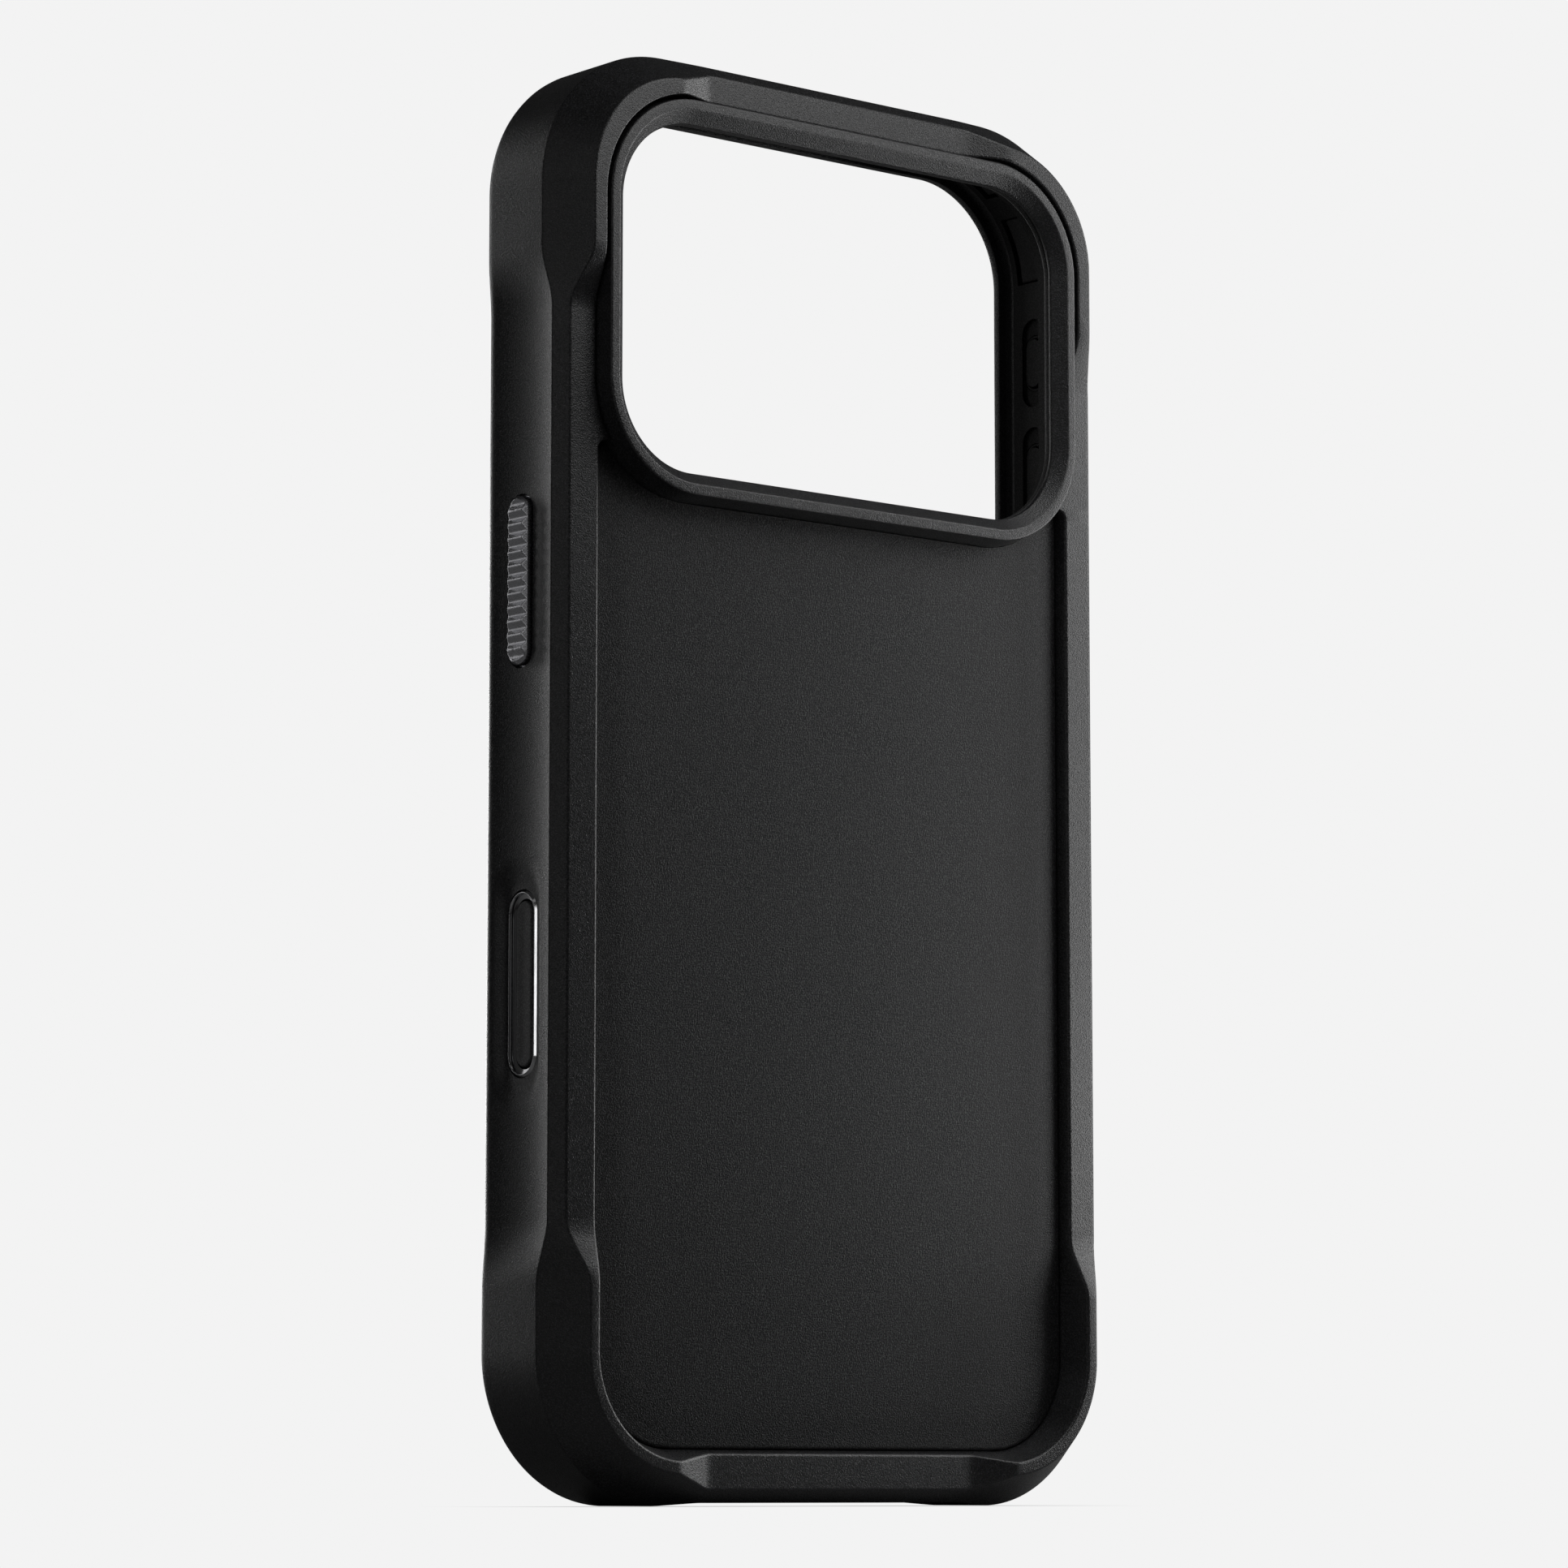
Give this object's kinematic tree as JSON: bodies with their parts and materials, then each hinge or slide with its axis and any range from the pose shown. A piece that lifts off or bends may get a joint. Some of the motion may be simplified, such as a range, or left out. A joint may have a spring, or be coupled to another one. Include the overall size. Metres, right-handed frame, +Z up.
{
  "type": "phone case",
  "caption": "Rugged black phone case with thick corner pads, a raised camera collar, ribbed side buttons, a capture key and a magnet ring behind a flat back panel.",
  "frame": {"origin": "centre of the bounding box's bottom, which is the plane the two bottom corner pads stand on", "axes": "+Z up along the case's length; +Y out of the open screen side, so the outside of the back faces -Y; +X to the side with the action and volume buttons"},
  "size_m": [0.079, 0.0154, 0.1572],
  "materials": {
    "bumper_rubber": "matte black thermoplastic elastomer with a fine grain",
    "shell_plastic": "matte black moulded polycarbonate",
    "panel_coating": "black plate with a fine matte soft-touch coat",
    "adhesive_film": "thin dark bonding film",
    "lining_fabric": "charcoal microfibre",
    "collar_coating": "black with a fine matte coat",
    "seal_rubber": "soft black silicone",
    "carrier_plastic": "black moulded plastic",
    "shield_steel": "thin rolled steel",
    "magnet_nickel": "nickel plated",
    "capture_ring_metal": "black anodised",
    "capture_pad_plastic": "satin black",
    "stem_plastic": "dark moulded plastic",
    "button_metal": "black anodised, bead blasted",
    "cushion_rubber": "soft black shock absorbing rubber"
  },
  "bodies": {
    "case": {"action_button_gasket": "seal_rubber", "alignment_magnet": "magnet_nickel", "back_panel": "panel_coating", "bumper_frame": "bumper_rubber", "camera_collar": "collar_coating", "camera_window_seal": "seal_rubber", "capture_gasket": "seal_rubber", "capture_ring": "capture_ring_metal", "corner_cushion_bottom_left": "cushion_rubber", "corner_cushion_bottom_right": "cushion_rubber", "corner_cushion_top_left": "cushion_rubber", "corner_cushion_top_right": "cushion_rubber", "inner_shell": "shell_plastic", "magnet_carrier": "carrier_plastic", "magnet_cover_film": "adhesive_film", "magnet_ring": "magnet_nickel", "magnet_shield": "shield_steel", "microfibre_lining": "lining_fabric", "panel_adhesive": "adhesive_film", "side_button_gasket": "seal_rubber", "volume_down_button_gasket": "seal_rubber", "volume_up_button_gasket": "seal_rubber"},
    "side_button": {"side_button_cap": "button_metal", "side_button_stem": "stem_plastic"},
    "action_button": {"action_button_cap": "button_metal", "action_button_stem": "stem_plastic"},
    "volume_up_button": {"volume_up_button_cap": "button_metal", "volume_up_button_stem": "stem_plastic"},
    "volume_down_button": {"volume_down_button_cap": "button_metal", "volume_down_button_stem": "stem_plastic"},
    "capture_key": {"capture_pad": "capture_pad_plastic", "capture_stem": "stem_plastic"}
  },
  "joints": [
    {"name": "side_button_press", "type": "slide", "parent": "case", "child": "side_button", "axis": [1, 0, 0], "range_m": [0, 0.00035], "stiffness_N_per_m": 900},
    {"name": "action_button_press", "type": "slide", "parent": "case", "child": "action_button", "axis": [-1, 0, 0], "range_m": [0, 0.00035], "stiffness_N_per_m": 900},
    {"name": "volume_up_press", "type": "slide", "parent": "case", "child": "volume_up_button", "axis": [-1, 0, 0], "range_m": [0, 0.00035], "stiffness_N_per_m": 900},
    {"name": "volume_down_press", "type": "slide", "parent": "case", "child": "volume_down_button", "axis": [-1, 0, 0], "range_m": [0, 0.00035], "stiffness_N_per_m": 900},
    {"name": "capture_key_press", "type": "slide", "parent": "case", "child": "capture_key", "axis": [1, 0, 0], "range_m": [0, 0.00012], "stiffness_N_per_m": 2000}
  ]
}
